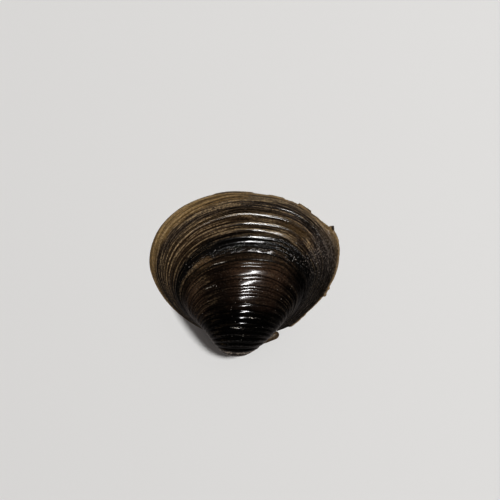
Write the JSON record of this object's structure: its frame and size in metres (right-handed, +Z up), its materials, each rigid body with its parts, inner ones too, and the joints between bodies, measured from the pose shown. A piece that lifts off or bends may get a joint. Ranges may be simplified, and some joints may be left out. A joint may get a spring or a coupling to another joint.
{
  "type": "clam shell",
  "caption": "Single domed valve of a freshwater clam with concentric growth ridges, a hooked beak and a hollow toothed inside, lying open side down.",
  "frame": {"origin": "on the rest plane, under the middle of the part's box", "axes": "+X along the hinge towards the back end of the shell, +Y from the beak towards the free edge, +Z up through the dome"},
  "size_m": [0.03, 0.0254, 0.0098],
  "materials": {
    "shell": "glossy dark brown and black outer skin over a porcelain-like shell, tan at the margin",
    "ligament": "horny, satin tan brown"
  },
  "bodies": {
    "root": {"valve": "shell", "ligament": "ligament"}
  },
  "joints": []
}
